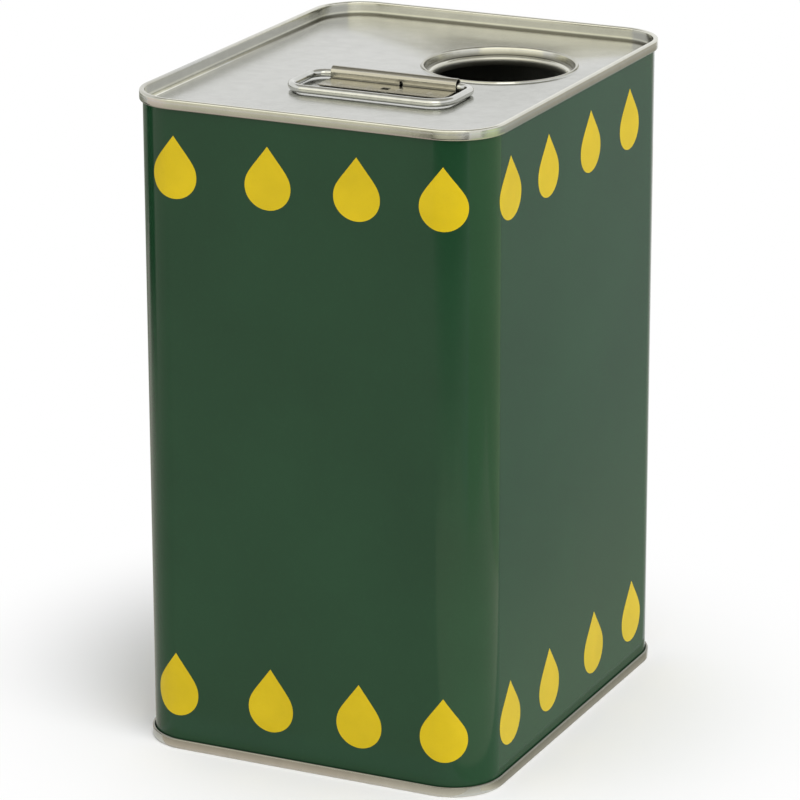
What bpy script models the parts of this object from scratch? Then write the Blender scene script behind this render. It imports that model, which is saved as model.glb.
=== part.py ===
"""Square tin can with an open pressed mouth and a folding wire handle.

The body blank is rolled round a rounded rectangle and lap welded at the back. Both ends
are double seamed to it, with a band of sealing compound under each crown. The handle is a
bent wire that turns in a folded bracket on the top. Lengths are metres and +Z is up. The
origin is on the ground, under the middle of the body.
"""

import math

import bmesh
import bpy

# Body blank
body_width = 0.1360
body_depth = 0.1680
can_height = 0.2420
corner_radius = 0.0180
sheet = 0.00025
weld_lap_width = 0.0012
weld_lap_proud = 0.00012
weld_lap_end_room = 0.0012

# Double seams at both ends of the body
seam_height = 0.0038
seam_gap = 0.00015
crown_radius = 0.00045
compound_room = 0.00050
compound_width = 0.00084
compound_thickness = 0.00024

# Ends
countersink_depth = 0.0050
groove_radius = 0.00070
expansion_step_inset = 0.0120
expansion_step_slope = 0.0018
expansion_step_height = 0.0009

# Mouth pressed in the top end
mouth_x = 0.0250
mouth_y = 0.0270
mouth_foot_radius = 0.0288
mouth_crest_radius = 0.0279
mouth_crest_height = 0.0009
mouth_crest_round = 0.00055
mouth_recess_depth = 0.0020
mouth_recess_radius = 0.0268
mouth_recess_fillet = 0.00045
mouth_shoulder_round = 0.0012
mouth_throat_radius = 0.0244
mouth_throat_depth = 0.0052

# Handle wire
wire_diameter = 0.0030
handle_x = 0.0034
handle_y = -0.0150
handle_reach = 0.0258
handle_lift = 0.0019
handle_bend_radius = 0.0060
handle_corner_radius = 0.0080
handle_end_gap = 0.0060

# Bracket that holds the handle wire
bracket_length = 0.0490
bracket_sheet = 0.00040
bracket_front_flange = 0.0106
bracket_back_flange = 0.0052
bracket_headroom = 0.0007
bracket_bend_radius = 0.00050
stake_slot_offset = 0.0033
stake_slot_length = 0.0013
stake_slot_height = 0.0014
flange_slot_offset = 0.0003
flange_slot_reach = 0.0087
flange_slot_length = 0.0032
flange_slot_width = 0.0032
seat_gap = 0.00030
running_gap = 0.00030
cut_overrun = 0.0010

# Facets
corner_steps = 8
hook_steps = 4
crown_steps = 3
groove_steps = 3
mouth_steps = 48
crest_steps = 4
fillet_steps = 2
barrel_steps = 10
wire_bend_steps = 6
wire_bevel_resolution = 2

# Lines of the sheet's mid thickness in a seam, as offsets outwards from the body's face
layer_pitch = sheet + seam_gap
body_line = -sheet / 2
chuck_wall_line = body_line - layer_pitch
cover_hook_line = body_line + layer_pitch
body_hook_line = cover_hook_line + layer_pitch
outer_wall_line = body_hook_line + layer_pitch
crown_line_depth = sheet / 2
body_turn_depth = crown_line_depth + sheet + compound_room + layer_pitch
cover_turn_depth = seam_height - sheet / 2 - layer_pitch
panel_line_depth = countersink_depth + sheet / 2

# Heights of the top panel and of the handle's axis
panel_top = can_height - countersink_depth
handle_axis_height = panel_top + handle_lift

PART_NAME = "square_tin_can"
CUTTER_NAME = "square_tin_can_cutters"


def clear_scene():
    """Remove whatever the file holds, and make the two collections."""
    for old in list(bpy.data.objects):
        bpy.data.objects.remove(old, do_unlink=True)
    for name in (PART_NAME, CUTTER_NAME):
        collection = bpy.data.collections.new(name)
        bpy.context.scene.collection.children.link(collection)


def make_material(name, colour, roughness, metallic):
    """Return a Principled material of one colour."""
    material = bpy.data.materials.new(name)
    material.use_nodes = True
    shader = material.node_tree.nodes["Principled BSDF"]
    shader.inputs["Base Color"].default_value = (*colour, 1.0)
    shader.inputs["Roughness"].default_value = roughness
    shader.inputs["Metallic"].default_value = metallic
    material.diffuse_color = (*colour, 1.0)
    return material


def add_object(name, data, material=None, collection=PART_NAME):
    """Put mesh or curve data in the scene under its part's name."""
    made = bpy.data.objects.new(name, data)
    bpy.data.collections[collection].objects.link(made)
    if material:
        data.materials.append(material)
    return made


def mesh_from(bm, name):
    """Turn a bmesh into smooth-shaded mesh data with sharp creases kept."""
    bmesh.ops.recalc_face_normals(bm, faces=bm.faces[:])
    mesh = bpy.data.meshes.new(name)
    bm.to_mesh(mesh)
    bm.free()
    mesh.shade_smooth()
    mesh.set_sharp_from_angle(angle=math.radians(50))
    return mesh


def thicken(made, thickness):
    """Give an open surface an even wall, half to each side."""
    wall = made.modifiers.new("wall", "SOLIDIFY")
    wall.thickness = thickness
    wall.offset = 0.0
    wall.use_even_offset = True
    wall.use_quality_normals = True
    return wall


def arc(centre_u, centre_v, radius, start_deg, end_deg, steps):
    """Points of an arc in a section plane, both ends included."""
    points = []
    for step in range(steps + 1):
        angle = math.radians(start_deg + (end_deg - start_deg) * step / steps)
        points.append((centre_u + radius * math.cos(angle), centre_v + radius * math.sin(angle)))
    return points


def ring_point(x, y, offset):
    """Move a point of a body outline square to it, to another offset from the body's face."""
    core_x = body_width / 2 - corner_radius
    core_y = body_depth / 2 - corner_radius
    base_x = max(-core_x, min(core_x, x))
    base_y = max(-core_y, min(core_y, y))
    away = math.hypot(x - base_x, y - base_y)
    reach = corner_radius + offset
    return base_x + (x - base_x) / away * reach, base_y + (y - base_y) / away * reach


def start_ring(bm, offset, height):
    """Draw a closed rounded rectangle at an offset from the body's face."""
    core_x = body_width / 2 - corner_radius
    core_y = body_depth / 2 - corner_radius
    reach = corner_radius + offset
    outline = []
    for side_x, side_y, turn in ((1, 1, 0), (-1, 1, 90), (-1, -1, 180), (1, -1, 270)):
        outline += arc(side_x * core_x, side_y * core_y, reach, turn, turn + 90, corner_steps)
    verts = [bm.verts.new((x, y, height)) for x, y in outline]
    return [bm.edges.new((a, b)) for a, b in zip(verts, verts[1:] + verts[:1])]


def extrude_ring(bm, edges, offset, height):
    """Extrude a ring of edges to another offset and height."""
    made = bmesh.ops.extrude_edge_only(bm, edges=edges)["geom"]
    for vert in made:
        if isinstance(vert, bmesh.types.BMVert):
            x, y = ring_point(vert.co.x, vert.co.y, offset)
            vert.co = (x, y, height)
    fresh = {item for item in made if isinstance(item, bmesh.types.BMVert)}
    return [item for item in made
            if isinstance(item, bmesh.types.BMEdge) and set(item.verts) <= fresh]


def sweep_section(bm, section):
    """Sweep a section of (offset, height) points round the body outline."""
    ring = start_ring(bm, *section[0])
    for offset, height in section[1:]:
        ring = extrude_ring(bm, ring, offset, height)
    return ring


def body_hook_section():
    """Section from the tip of a body hook, over its turn and to the body wall."""
    tip = (body_hook_line, cover_turn_depth)
    turn = arc(cover_hook_line, -body_turn_depth, layer_pitch, 0, 180, hook_steps)
    return [tip] + [(offset, -height) for offset, height in turn]


def end_section():
    """Section of an end from its hook, over the crown and down to its panel."""
    points = [(cover_hook_line, body_turn_depth)]
    turn = arc(body_hook_line, -cover_turn_depth, layer_pitch, 180, 360, hook_steps)
    outer_corner = arc(outer_wall_line - crown_radius, -crown_line_depth - crown_radius,
                       crown_radius, 0, 90, crown_steps)
    inner_corner = arc(chuck_wall_line + crown_radius, -crown_line_depth - crown_radius,
                       crown_radius, 90, 180, crown_steps)
    groove = arc(chuck_wall_line - groove_radius, -panel_line_depth,
                 groove_radius, 0, -135, groove_steps)
    for offset, height in turn + outer_corner + inner_corner + groove:
        points.append((offset, -height))
    foot = chuck_wall_line - groove_radius - groove_radius * math.sqrt(2)
    points.append((foot, panel_line_depth))
    return points


def mouth_section():
    """Section of the mouth as (radius, height over the panel's middle), outside first."""
    crest_middle = mouth_crest_height - mouth_crest_round
    crest = arc(mouth_crest_radius, crest_middle, mouth_crest_round, 60, 180, crest_steps)
    recess = arc(mouth_recess_radius - mouth_recess_fillet,
                 mouth_recess_fillet - mouth_recess_depth,
                 mouth_recess_fillet, 0, -90, fillet_steps)
    shoulder = arc(mouth_throat_radius + mouth_shoulder_round,
                   -mouth_recess_depth - mouth_shoulder_round,
                   mouth_shoulder_round, 90, 180, fillet_steps + 1)
    throat = (mouth_throat_radius, -mouth_throat_depth)
    return [(mouth_foot_radius, 0.0)] + crest + recess + shoulder + [throat]


def add_mouth(bm, panel_ring, panel_height):
    """Sink the mouth's ring into the panel, and fill the panel round it."""
    section = mouth_section()
    first = len(bm.verts)
    circle = bmesh.ops.create_circle(bm, segments=mouth_steps, radius=section[0][0])
    bmesh.ops.translate(bm, verts=circle["verts"], vec=(mouth_x, mouth_y, panel_height))
    bm.verts.ensure_lookup_table()
    ring = list({edge for vert in bm.verts[first:] for edge in vert.link_edges})
    bmesh.ops.triangle_fill(bm, use_beauty=True, use_dissolve=False, edges=panel_ring + ring)
    for radius, height in section[1:]:
        made = bmesh.ops.extrude_edge_only(bm, edges=ring)["geom"]
        verts = [item for item in made if isinstance(item, bmesh.types.BMVert)]
        fresh = set(verts)
        for vert in verts:
            away = math.hypot(vert.co.x - mouth_x, vert.co.y - mouth_y)
            vert.co.x = mouth_x + (vert.co.x - mouth_x) / away * radius
            vert.co.y = mouth_y + (vert.co.y - mouth_y) / away * radius
            vert.co.z = panel_height + height
        ring = [item for item in made
                if isinstance(item, bmesh.types.BMEdge) and set(item.verts) <= fresh]


def make_body_shell(material):
    """The body blank: flanged walls hooked outwards at both ends, with a weld lap."""
    hook = body_hook_section()
    section = [(offset, can_height - depth) for offset, depth in hook]
    section += [(offset, depth) for offset, depth in reversed(hook)]
    bm = bmesh.new()
    sweep_section(bm, section)
    shell = add_object("body_shell", mesh_from(bm, "body_shell"), material)
    thicken(shell, sheet)
    lap = make_weld_lap(seam_height + weld_lap_end_room)
    join = shell.modifiers.new("weld_lap", "BOOLEAN")
    join.operation = "UNION"
    join.solver = "EXACT"
    join.object = lap
    return shell


def make_weld_lap(clear_of_end):
    """A strip on the back wall where the blank's edges lap, ended short of the seams."""
    length = can_height - clear_of_end * 2
    bm = bmesh.new()
    bmesh.ops.create_cube(bm, size=1.0)
    bmesh.ops.scale(bm, vec=(weld_lap_width, sheet / 2 + weld_lap_proud, length), verts=bm.verts[:])
    middle_y = body_depth / 2 + (weld_lap_proud - sheet / 2) / 2
    bmesh.ops.translate(bm, vec=(0.0, middle_y, can_height / 2), verts=bm.verts[:])
    lap = add_object("weld_lap_form", mesh_from(bm, "weld_lap_form"), None, CUTTER_NAME)
    lap.hide_render = True
    lap.display_type = "WIRE"
    return lap


def make_top_end(material):
    """The top end: seam hooks, chuck wall, countersink groove, panel and mouth."""
    section = [(offset, can_height - depth) for offset, depth in end_section()]
    bm = bmesh.new()
    ring = sweep_section(bm, section)
    add_mouth(bm, ring, can_height - panel_line_depth)
    end = add_object("top_end", mesh_from(bm, "top_end"), material)
    thicken(end, sheet)
    return end


def make_bottom_end(material):
    """The bottom end: the same seam, with a stepped panel that lets the can swell."""
    section = end_section()
    section.append((-expansion_step_inset, panel_line_depth))
    inner = -expansion_step_inset - expansion_step_slope
    section.append((inner, panel_line_depth + expansion_step_height))
    bm = bmesh.new()
    ring = sweep_section(bm, section)
    bmesh.ops.contextual_create(bm, geom=ring)
    end = add_object("bottom_end", mesh_from(bm, "bottom_end"), material)
    thicken(end, sheet)
    return end


def make_compound(name, material, height_of_depth):
    """A closed band of sealing compound under a seam's crown."""
    middle = (chuck_wall_line + outer_wall_line) / 2
    high = sheet + (compound_room - compound_thickness) / 2
    low = high + compound_thickness
    inner = middle - compound_width / 2
    outer = middle + compound_width / 2
    corners = [(inner, high), (outer, high), (outer, low), (inner, low), (inner, high)]
    bm = bmesh.new()
    sweep_section(bm, [(offset, height_of_depth(depth)) for offset, depth in corners])
    bmesh.ops.remove_doubles(bm, verts=bm.verts[:], dist=seam_gap / 10)
    return add_object(name, mesh_from(bm, name), material)


def bracket_section():
    """Section of the bracket as (y, z): flange, leg, barrel over the wire, leg, flange."""
    half_wall = bracket_sheet / 2
    barrel_radius = wire_diameter / 2 + running_gap + half_wall
    flange_height = panel_top + seat_gap + half_wall
    bend_y = barrel_radius + bracket_bend_radius
    foot_y = barrel_radius + half_wall
    barrel_middle = handle_axis_height + bracket_headroom
    back_leg = arc(bend_y, flange_height + bracket_bend_radius, bracket_bend_radius,
                   270, 180, fillet_steps)
    front_leg = [(-y, z) for y, z in reversed(back_leg)]
    barrel = arc(0.0, barrel_middle, barrel_radius, 0, 180, barrel_steps)
    back_edge = [(foot_y + bracket_back_flange, flange_height)]
    front_edge = [(-foot_y - bracket_front_flange, flange_height)]
    points = back_edge + back_leg + barrel + front_leg + front_edge
    return [(handle_y + y, z) for y, z in points]


def make_bracket(material):
    """The folded bracket, spot welded to the top by its two flanges."""
    bm = bmesh.new()
    points = bracket_section()
    verts = [bm.verts.new((handle_x - bracket_length / 2, y, z)) for y, z in points]
    edges = [bm.edges.new(pair) for pair in zip(verts, verts[1:])]
    made = bmesh.ops.extrude_edge_only(bm, edges=edges)["geom"]
    moved = [item for item in made if isinstance(item, bmesh.types.BMVert)]
    bmesh.ops.translate(bm, vec=(bracket_length, 0.0, 0.0), verts=moved)
    bracket = add_object("handle_bracket", mesh_from(bm, "handle_bracket"), material)
    thicken(bracket, bracket_sheet)
    through = bracket_sheet + cut_overrun * 2
    wall_y = handle_y - wire_diameter / 2 - running_gap - bracket_sheet / 2
    flange_z = panel_top + seat_gap + bracket_sheet / 2
    stake_low = flange_z - through / 2
    stake_high = flange_z + bracket_sheet / 2 + stake_slot_height
    cut_slot(bracket, "stake_slot", (stake_slot_length, through, stake_high - stake_low),
             (handle_x + stake_slot_offset, wall_y, (stake_high + stake_low) / 2))
    cut_slot(bracket, "flange_slot", (flange_slot_length, flange_slot_width, through),
             (handle_x + flange_slot_offset, handle_y - flange_slot_reach, flange_z))
    return bracket


def cut_slot(made, name, size, middle):
    """Cut a slot of a size through a sheet, at its middle."""
    bm = bmesh.new()
    bmesh.ops.create_cube(bm, size=1.0)
    bmesh.ops.scale(bm, vec=size, verts=bm.verts[:])
    bmesh.ops.translate(bm, vec=middle, verts=bm.verts[:])
    cutter = add_object(name + "_form", mesh_from(bm, name + "_form"), None, CUTTER_NAME)
    cutter.hide_render = True
    cutter.display_type = "WIRE"
    slot = made.modifiers.new(name, "BOOLEAN")
    slot.operation = "DIFFERENCE"
    slot.solver = "EXACT"
    slot.object = cutter


def handle_path():
    """Centre line of the handle wire about its axis, as (x, reach) points."""
    bend_start = bracket_length / 2 + running_gap * 2
    arm_x = bend_start + handle_bend_radius
    near = arc(bend_start, -handle_bend_radius, handle_bend_radius, 90, 0, wire_bend_steps)
    far = arc(arm_x - handle_corner_radius, handle_corner_radius - handle_reach,
              handle_corner_radius, 0, -90, wire_bend_steps)
    half = [(handle_end_gap / 2, 0.0)] + near + far
    return half + [(-x, y) for x, y in reversed(half)]


def make_handle(material):
    """The handle: one bent wire whose two ends turn in the bracket."""
    curve = bpy.data.curves.new("handle_bail", "CURVE")
    curve.dimensions = "3D"
    curve.bevel_depth = wire_diameter / 2
    curve.bevel_resolution = wire_bevel_resolution
    curve.use_fill_caps = True
    points = handle_path()
    spline = curve.splines.new("POLY")
    spline.points.add(len(points) - 1)
    for point, (x, y) in zip(spline.points, points):
        point.co = (x, y, 0.0, 1.0)
    spline.use_smooth = True
    handle = add_object("handle_bail", curve, material)
    handle.location = (handle_x, handle_y, handle_axis_height)
    return handle


def main():
    """Build the can, one object for each physical piece."""
    clear_scene()
    lacquer = make_material("green_litho", (0.032, 0.066, 0.036), 0.28, 0.0)
    tinplate = make_material("tinplate_top", (0.64, 0.64, 0.61), 0.22, 1.0)
    bottom_plate = make_material("tinplate_bottom", (0.60, 0.60, 0.57), 0.30, 1.0)
    compound_top = make_material("compound_top", (0.62, 0.60, 0.52), 0.70, 0.0)
    compound_bottom = make_material("compound_bottom", (0.60, 0.58, 0.50), 0.70, 0.0)
    bracket_plate = make_material("bracket_plate", (0.55, 0.54, 0.48), 0.30, 1.0)
    bright_wire = make_material("bright_wire", (0.68, 0.69, 0.68), 0.18, 1.0)
    make_body_shell(lacquer)
    make_top_end(tinplate)
    make_bottom_end(bottom_plate)
    make_compound("top_seam_compound", compound_top, lambda depth: can_height - depth)
    make_compound("bottom_seam_compound", compound_bottom, lambda depth: depth)
    make_bracket(bracket_plate)
    make_handle(bright_wire)


main()
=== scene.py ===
"""Dress the square tin can: printed body, bright seamed ends, bracket and wire handle."""

import math
from functools import cached_property

import bmesh
import bpy
from bpy.props import FloatProperty, FloatVectorProperty, IntProperty, PointerProperty
from bpy.types import Operator, Panel, PropertyGroup
from mathutils import Matrix, Vector


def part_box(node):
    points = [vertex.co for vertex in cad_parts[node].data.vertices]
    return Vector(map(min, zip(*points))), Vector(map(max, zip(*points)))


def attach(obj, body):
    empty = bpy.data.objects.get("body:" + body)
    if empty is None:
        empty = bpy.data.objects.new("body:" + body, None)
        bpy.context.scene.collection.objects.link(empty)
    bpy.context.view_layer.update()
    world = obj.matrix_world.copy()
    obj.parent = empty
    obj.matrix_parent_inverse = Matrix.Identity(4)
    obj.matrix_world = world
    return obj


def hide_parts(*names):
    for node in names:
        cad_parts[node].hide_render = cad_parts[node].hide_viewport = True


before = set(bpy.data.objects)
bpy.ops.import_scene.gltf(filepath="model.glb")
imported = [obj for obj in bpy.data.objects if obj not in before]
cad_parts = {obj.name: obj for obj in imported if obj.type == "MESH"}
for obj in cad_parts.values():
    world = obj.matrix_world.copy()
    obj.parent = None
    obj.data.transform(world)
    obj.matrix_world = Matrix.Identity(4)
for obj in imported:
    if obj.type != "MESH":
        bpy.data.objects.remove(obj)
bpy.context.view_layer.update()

bl_info = {
    "name": "Square Tin Can",
    "version": (1, 0, 0),
    "blender": (4, 5, 0),
    "location": "View3D > Sidebar > Tin Can",
    "description": "Builds a printed, double-seamed square tin can with a wire handle",
    "category": "Add Mesh",
}

# Bodies that the pieces ride on
CAN = "can"
HANDLE = "handle"

# Sheet and seam sizes, as in the solid model
SHEET = 0.00025
SEAM_GAP = 0.00015
LAYER_PITCH = SHEET + SEAM_GAP
BODY_LINE = -SHEET / 2
CHUCK_WALL_LINE = BODY_LINE - LAYER_PITCH
COVER_HOOK_LINE = BODY_LINE + LAYER_PITCH
BODY_HOOK_LINE = COVER_HOOK_LINE + LAYER_PITCH
OUTER_WALL_LINE = BODY_HOOK_LINE + LAYER_PITCH
SEAM_OVERHANG = OUTER_WALL_LINE + SHEET / 2
SEAM_HEIGHT = 0.0038
CROWN_RADIUS = 0.00045
CROWN_DEPTH = SHEET / 2
COMPOUND_ROOM = 0.00050
BODY_TURN_DEPTH = CROWN_DEPTH + SHEET + COMPOUND_ROOM + LAYER_PITCH
COVER_TURN_DEPTH = SEAM_HEIGHT - SHEET / 2 - LAYER_PITCH

# Outline of the body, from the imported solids
END_LOW, END_HIGH = (Vector(corner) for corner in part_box("top_end"))
HALF_WIDTH = (END_HIGH.x - END_LOW.x) / 2 - SEAM_OVERHANG
HALF_DEPTH = (END_HIGH.y - END_LOW.y) / 2 - SEAM_OVERHANG
CAN_HEIGHT = END_HIGH.z
CORNER_RADIUS = 0.0180
CORE_X = HALF_WIDTH - CORNER_RADIUS
CORE_Y = HALF_DEPTH - CORNER_RADIUS
CORNER_ARC = CORNER_RADIUS * math.pi / 2
GIRTH = 4 * (CORE_X + CORE_Y + CORNER_ARC)

# Ends
COUNTERSINK_DEPTH = 0.0050
PANEL_DEPTH = COUNTERSINK_DEPTH + SHEET / 2
GROOVE_RADIUS = 0.00070
WALL_KEEPER = 0.00025

# Handle and bracket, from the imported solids
BAIL_LOW, BAIL_HIGH = (Vector(corner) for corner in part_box("handle_bail"))
BRACKET_LOW, BRACKET_HIGH = (Vector(corner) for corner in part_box("handle_bracket"))
WIRE_RADIUS = (BAIL_HIGH.z - BAIL_LOW.z) / 2
AXIS_Z = (BAIL_HIGH.z + BAIL_LOW.z) / 2
HANDLE_X = (BRACKET_HIGH.x + BRACKET_LOW.x) / 2
BRACKET_LENGTH = BRACKET_HIGH.x - BRACKET_LOW.x
BRACKET_SHEET = 0.00040
RUNNING_GAP = 0.00030
BARREL_REACH = WIRE_RADIUS + RUNNING_GAP + BRACKET_SHEET
BACK_FLANGE = 0.0052
AXIS_Y = BRACKET_HIGH.y - BACK_FLANGE - BARREL_REACH
FRONT_FLANGE = AXIS_Y - BARREL_REACH - BRACKET_LOW.y
LEG_BEND = 0.00050

# Facets
CORNER_STEPS = 28
HOOK_STEPS = 8
CROWN_STEPS = 6
GROOVE_STEPS = 8
MOUTH_STEPS = 144
WIRE_SIDES = 28
BARREL_STEPS = 28
LEG_STEPS = 5
BRACKET_STEPS = 60
SPOT_STEPS = 32
RIM_STEPS = 10
FILLET_STEPS = 5
SHOULDER_STEPS = 8
FLOOR_SIDES = 96

# Angles over which an edge is sharp, on plate, on the cut bracket and on fine pieces, and
# the rounding of the bracket's edges, as an angle that it starts at and a share of its sheet
PLATE_CREASE_DEG = 40
CUT_CREASE_DEG = 35
FINE_CREASE_DEG = 30
ROUND_FROM_DEG = 50
ROUND_SHARE = 0.2

# Painted light and shade of the tinplate along its sections: 1 is the plain panel, 0 the
# painted shade of a crease, and above 1 a painted highlight. Three values are for the front
# and right, the back, and the left, as those sides are painted lit or shaded differently: the
# glint line, the chuck wall's foot and the groove are painted bright on the front and left and
# dark at the back. The bottom end is painted darker as a whole, and the mouth's recess and
# throat edge are painted dark.
PANEL_TONE = 1.0
CREST_TONES = (1.25, 1.25, 0.92)
CHUCK_TONE = 0.96
CHUCK_GLINT_TONES = (0.96, 1.45, 1.45)
CHUCK_FOOT_TONES = (1.5, 0.30, 1.5)
GROOVE_TONES = (1.35, 0.10, 1.7)
CHUCK_SHADE_DEPTH = 0.0010
CHUCK_GLINT = 0.0006
BOTTOM_TONE = 0.88
WALL_TONE = 1.12
WALL_FOOT_TONE = 0.72
HOOK_TONE = 0.45
STEP_TONE = 0.9
RIM_TONE = 0.82
RECESS_WALL_TONE = 1.25
RECESS_TONE = 0.30
SHOULDER_TONE = 1.25
THROAT_TONE = 1.1
THROAT_EDGE_TONE = 0.2

# How much duller the throat is, and the share that the height has in the distance that
# picks it out
THROAT_DULLING = 0.35
HEIGHT_SHARE = 0.2

# Welded lap at the back, that stands proud of the wall and is set a little into it
WELD_WIDTH = 0.0012
WELD_PROUD = 0.00012
WELD_SEAT = SHEET / 4
WELD_END_ROOM = 0.0012

# Step in the bottom panel, as shares of its slope and its height
STEP_INSET = 0.0120
STEP_SLOPE = 0.0018
STEP_HEIGHT = 0.0009
STEP_SHARES = ((0.15, 0.04), (0.35, 0.25), (0.5, 0.5), (0.65, 0.75), (0.85, 0.96), (1.0, 1.0))

# Outside of the mouth's rim: its rise as shares of its width and height, and the angle at
# which its rounded top starts
RISE_SHARES = ((0.0, 0.0), (0.20, 0.06), (0.40, 0.24), (0.55, 0.50))
RIM_START_DEG = 62

# Places of the drops along the front and right walls, from the middle of the front, the
# number round the other two walls, and a drop's outline as shares of its height or width
TOP_DROPS = (-0.0489, -0.0124, 0.0216, 0.0539, 0.0850, 0.1173, 0.1546, 0.1904)
BOTTOM_DROPS = (-0.0518, -0.0136, 0.0214, 0.0541, 0.0872, 0.1219, 0.1630, 0.1991)
HIDDEN_DROPS = 8
BELLY_SHARE = 0.36
SIDE_PULL_SHARE = 0.30
TIP_PULL_SHARE = 0.42
TIP_SPREAD_SHARE = 0.73
SIDE_STEPS = 24
FOOT_STEPS = 18
STRIP_WIDTH = 0.0008
INK_SEAT = 0.00001
INK_MERGE = 0.000001
INK_RAGGED = 0.00025

# Slots pierced in the bracket's front leg and front flange
STAKE_SLOT_OFFSET = 0.0033
STAKE_SLOT_LENGTH = 0.0013
STAKE_SLOT_HEIGHT = 0.0014
FLANGE_SLOT_OFFSET = 0.0003
FLANGE_SLOT_REACH = 0.0087
FLANGE_SLOT_LENGTH = 0.0032
FLANGE_SLOT_WIDTH = 0.0032
CUT_OVERRUN = 0.0010

# Depth of the painted shade on the bracket: a dark line along the top of its barrel, as a share
# of the barrel's turn, its bends, and up its front leg and out over its front flange, as shares
# of the bend and flange. Below 0 it is a painted highlight, brighter than plain.
BARREL_DARK_LINE = 0.62
BARREL_DARK_SPREAD = 0.10
BARREL_DARK_DEPTH = 0.7
LEG_SHADING = ((3.2, -0.1), (2.6, -0.4), (1.8, -0.4), (1.3, 0.5))
BEND_SHADE = 0.7
FLANGE_SHADE = ((0.05, 0.6), (0.13, 0.25), (0.30, 0.5), (0.45, 0.2), (1.0, 0.2))

# Marks of the spot welds: their places as shares of the flanges and of the bracket's length,
# their radius, and their steps as shares of it (radius, lift)
FRONT_SPOT_SHARE = 0.62
BACK_SPOT_SHARE = 0.55
SPOT_MARGIN_SHARE = 0.02
SPOT_RADIUS = 0.0013
SPOT_SHARES = ((0.96, 0.05), (0.86, 0.07), (0.74, 0.03), (0.5, 0.015))

# Rounded ends of the wire, as shares of its radius, and the turn of each step of its bends
WIRE_END_SHARE = 0.8
WIRE_TIP_SHARE = 0.2
BEND_STEP_DEG = 6
LEAST_BEND_STEPS = 6

# Camera at the photograph's angle, for a frame of 800 by 800
CAMERA_LENS = 190.548
CAMERA_PLACE = (0.63370, -1.33393, 0.59146)
CAMERA_YAW = 25.488
CAMERA_PITCH = 17.883
CAMERA_ROLL = -0.133
CAMERA_SIGHT = 50.0

# Studio: the floor, the level of the world's light on matt surfaces, how far off the suns
# are shown, and the suns as (name, azimuth from -Y towards +X, elevation, spread, strength)
FLOOR_RADIUS = 30.0
FLOOR_COLOUR = (0.96, 0.96, 0.96)
SHADOW_REACH = 0.09
WHITE_REACH = 0.20
AMBIENT_LEVEL = 0.62
SUN_DISTANCE = 2.0
SUNS = (
    ("key", 62.0, 40.0, 50.0, 1.60),
    ("overhead", 0.0, 85.0, 70.0, 0.50),
)

# Glowing cards that only reflections see, which paint the reflections in the metal and
# varnish: the room, soft box and paper cards are painted highlights, the dark, contact and left
# cards painted shade. Each is (name, middle, turn about X, turn about Z, width, height,
# colour at the foot, and the colour at the head where it differs)
NEAR_TABLE = (0.93, 0.83, 0.79)
FAR_TABLE = (0.80, 0.79, 0.66)
NEAR_SIDE = (0.49, 0.52, 0.50)
FAR_SIDE = (0.56, 0.54, 0.48)
ROOM = (1.35, 1.32, 1.16)
CEILING = (0.42, 0.41, 0.37)
SOFT_BOX = (2.4, 2.4, 2.3)
DARK = (0.012, 0.014, 0.012)
SIDE_FOOT = (0.66, 0.70, 0.60)
CORNER_SIDE = (0.82, 0.95, 0.62)
PAPER = (1.45, 1.40, 1.15)
CONTACT = (0.73, 0.66, 0.58)
CONTACT_END = (0.84, 0.81, 0.74)
CONTACT_CORNER = (0.95, 0.92, 0.82)
SIDE_CONTACT = (0.46, 0.44, 0.38)
LEFT_SIDE = (0.32, 0.33, 0.28)
LEFT_FOOT = (0.68, 0.64, 0.58)
LEFT_FRONT = (0.80, 0.74, 0.68)
CARDS = (
    ("card_table", (-0.45, -0.485, 0.001), 0.0, 0.0, 1.5, 0.71, NEAR_TABLE),
    ("card_table_far", (-0.45, -1.32, 0.001), 0.0, 0.0, 2.5, 0.96, FAR_TABLE),
    ("card_side", (0.72, 0.28, 0.001), 0.0, 0.0, 1.2, 1.04, NEAR_SIDE),
    ("card_side_foot", (0.2265, 0.28, 0.0012), 0.0, -90.0, 1.04, 0.30, SIDE_FOOT, NEAR_SIDE),
    ("card_side_far", (0.72, 1.30, 0.001), 0.0, 0.0, 1.2, 1.00, FAR_SIDE),
    ("card_room", (0.2, -2.8, 2.0), 90.0, 5.0, 7.0, 4.0, ROOM),
    ("card_ceiling", (0.0, 0.37, 1.5), 0.0, 0.0, 2.6, 1.86, CEILING),
    ("card_soft_box", (0.92, -1.31, 1.20), 55.0, 35.0, 0.8, 0.7, SOFT_BOX),
    ("card_corner_side", (0.633, 0.089, 0.0015), 0.0, -25.5, 0.80, 0.90, CORNER_SIDE),
    ("card_paper", (0.205, -0.186, 0.002), 0.0, -25.5, 0.27, 0.56, PAPER),
    ("card_contact", (0.0, -0.0950, 0.0003), 0.0, 90.0, 0.022, 0.15, CONTACT_END, CONTACT),
    ("card_contact_side", (0.073, 0.0225, 0.0003), 0.0, 0.0, 0.008, 0.140, SIDE_CONTACT),
    ("card_contact_corner", (0.073, -0.0625, 0.0003), 0.0, 0.0, 0.008, 0.030, CONTACT_CORNER,
     SIDE_CONTACT),
    ("card_left", (-0.5455, 0.36, 0.0016), 0.0, 90.0, 0.88, 0.95, LEFT_FOOT, LEFT_SIDE),
    ("card_left_front", (-0.4515, -0.111, 0.0018), 0.0, -35.0, 0.588, 0.50, LEFT_FRONT),
    ("card_dark", (0.141, -0.411, 0.068), 90.0, 16.0, 0.565, 0.136, NEAR_TABLE, DARK),
    ("card_dark_left", (-0.416, -0.047, 0.068), 90.0, 96.0, 0.17, 0.136, LEFT_FOOT, DARK),
)
CARD_FADE = 0.5


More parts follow.
